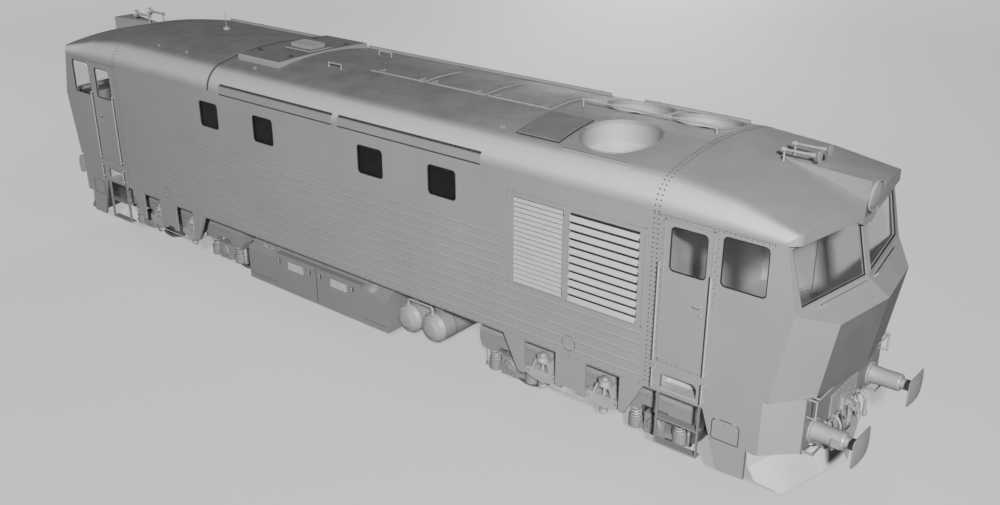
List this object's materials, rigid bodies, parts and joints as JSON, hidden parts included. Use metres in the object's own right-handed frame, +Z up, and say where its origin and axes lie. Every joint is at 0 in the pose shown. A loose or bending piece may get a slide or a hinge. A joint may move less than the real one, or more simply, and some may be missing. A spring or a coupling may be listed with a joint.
{
  "type": "diesel locomotive",
  "caption": "Double-ended diesel locomotive with faceted noses, roof fans, side louvres, two bogies and swinging cab doors.",
  "frame": {"origin": "middle of the length and width, on the plane that the wheel flanges reach down to", "axes": "+X along the locomotive towards the front cab with the fans behind it, +Y to its left-hand side, +Z up"},
  "size_m": [16.5, 3.18, 4.3995],
  "materials": {
    "body_paint": "mid grey satin paint on steel panels",
    "roof_paint": "mid grey satin paint on roof sheets",
    "end_paint": "mid grey satin paint on heavy end plates",
    "frame_paint": "grey satin paint on frame steel",
    "bogie_paint": "grey satin paint on bogie castings",
    "inner_paint": "dull grey paint inside the body",
    "engine_paint": "dull dark grey paint",
    "grille_metal": "grey painted sheet blades",
    "rotor_metal": "cast fan rotor",
    "rail_metal": "grey painted tube",
    "buffer_steel": "grey painted forged steel",
    "spring_steel": "grey painted spring steel",
    "wheel_steel": "machined tread, dull wheel faces",
    "glass": "clear flat panes",
    "lens_glass": "domed lamp lens"
  },
  "bodies": {
    "locomotive": {"underframe": "frame_paint", "headstocks": "end_paint", "side_wall_right": "body_paint", "side_wall_left": "body_paint", "centre_roof": "roof_paint", "bulkheads": "inner_paint", "engine_block": "engine_paint", "cab_shell_front": "body_paint", "cab_shell_rear": "body_paint", "cab_roof_front": "roof_paint", "cab_roof_rear": "roof_paint", "cab_floors": "inner_paint", "cab_glass": "glass", "engine_room_glass": "glass", "side_grille_right": "grille_metal", "side_grille_left": "grille_metal", "fan_wells": "grille_metal", "exhaust_hatch": "roof_paint", "roof_fittings": "roof_paint", "roof_rails": "rail_metal", "horns": "rail_metal", "headlamps": "body_paint", "headlamp_lenses": "lens_glass", "buffers": "buffer_steel", "draw_gear": "buffer_steel", "ploughs": "end_paint", "ladders": "frame_paint", "handrails": "rail_metal", "equipment_box": "frame_paint", "air_reservoirs": "frame_paint"},
    "bogie_front": {"bogie_frame_front": "bogie_paint", "axle_boxes_front": "bogie_paint", "springs_front": "spring_steel", "hangers_front": "bogie_paint", "traction_motors_front": "bogie_paint"},
    "axle_front_outer": {"wheelset_front_outer": "wheel_steel"},
    "axle_front_inner": {"wheelset_front_inner": "wheel_steel"},
    "door_front_right": {"cab_door_front_right": "body_paint", "door_glass_front_right": "glass"},
    "door_front_left": {"cab_door_front_left": "body_paint", "door_glass_front_left": "glass"},
    "bogie_rear": {"bogie_frame_rear": "bogie_paint", "axle_boxes_rear": "bogie_paint", "springs_rear": "spring_steel", "hangers_rear": "bogie_paint", "traction_motors_rear": "bogie_paint"},
    "axle_rear_outer": {"wheelset_rear_outer": "wheel_steel"},
    "axle_rear_inner": {"wheelset_rear_inner": "wheel_steel"},
    "door_rear_right": {"cab_door_rear_right": "body_paint", "door_glass_rear_right": "glass"},
    "door_rear_left": {"cab_door_rear_left": "body_paint", "door_glass_rear_left": "glass"},
    "rotor_large": {"fan_rotor_large": "rotor_metal"},
    "rotor_front": {"fan_rotor_front": "rotor_metal"},
    "rotor_rear": {"fan_rotor_rear": "rotor_metal"}
  },
  "joints": [
    {"name": "bogie_front_yaw", "type": "hinge", "parent": "locomotive", "child": "bogie_front", "pos_m": [4.5, 0, 0.9], "axis": [0, 0, 1], "range_deg": [-2.5, 2.5]},
    {"name": "axle_front_outer_roll", "type": "hinge", "parent": "bogie_front", "child": "axle_front_outer", "pos_m": [5.7, 0, 0.528], "axis": [0, 1, 0], "continuous": true},
    {"name": "axle_front_inner_roll", "type": "hinge", "parent": "bogie_front", "child": "axle_front_inner", "pos_m": [3.3, 0, 0.528], "axis": [0, 1, 0], "continuous": true},
    {"name": "door_front_right_swing", "type": "hinge", "parent": "locomotive", "child": "door_front_right", "pos_m": [5.839, -1.462, 2.6], "axis": [0, 0, 1], "range_deg": [0, 85]},
    {"name": "door_front_left_swing", "type": "hinge", "parent": "locomotive", "child": "door_front_left", "pos_m": [5.839, 1.462, 2.6], "axis": [0, 0, 1], "range_deg": [-85, 0]},
    {"name": "bogie_rear_yaw", "type": "hinge", "parent": "locomotive", "child": "bogie_rear", "pos_m": [-4.5, 0, 0.9], "axis": [0, 0, 1], "range_deg": [-2.5, 2.5]},
    {"name": "axle_rear_outer_roll", "type": "hinge", "parent": "bogie_rear", "child": "axle_rear_outer", "pos_m": [-5.7, 0, 0.528], "axis": [0, 1, 0], "continuous": true},
    {"name": "axle_rear_inner_roll", "type": "hinge", "parent": "bogie_rear", "child": "axle_rear_inner", "pos_m": [-3.3, 0, 0.528], "axis": [0, 1, 0], "continuous": true},
    {"name": "door_rear_right_swing", "type": "hinge", "parent": "locomotive", "child": "door_rear_right", "pos_m": [-5.839, -1.462, 2.6], "axis": [0, 0, 1], "range_deg": [-85, 0]},
    {"name": "door_rear_left_swing", "type": "hinge", "parent": "locomotive", "child": "door_rear_left", "pos_m": [-5.839, 1.462, 2.6], "axis": [0, 0, 1], "range_deg": [0, 85]},
    {"name": "rotor_large_spin", "type": "hinge", "parent": "locomotive", "child": "rotor_large", "pos_m": [4.6, -0.634, 3.4], "axis": [0, 0, 1], "continuous": true},
    {"name": "rotor_rear_spin", "type": "hinge", "parent": "locomotive", "child": "rotor_rear", "pos_m": [4.08, 0.63, 3.4], "axis": [0, 0, 1], "continuous": true},
    {"name": "rotor_front_spin", "type": "hinge", "parent": "locomotive", "child": "rotor_front", "pos_m": [5.13, 0.63, 3.4], "axis": [0, 0, 1], "continuous": true}
  ]
}
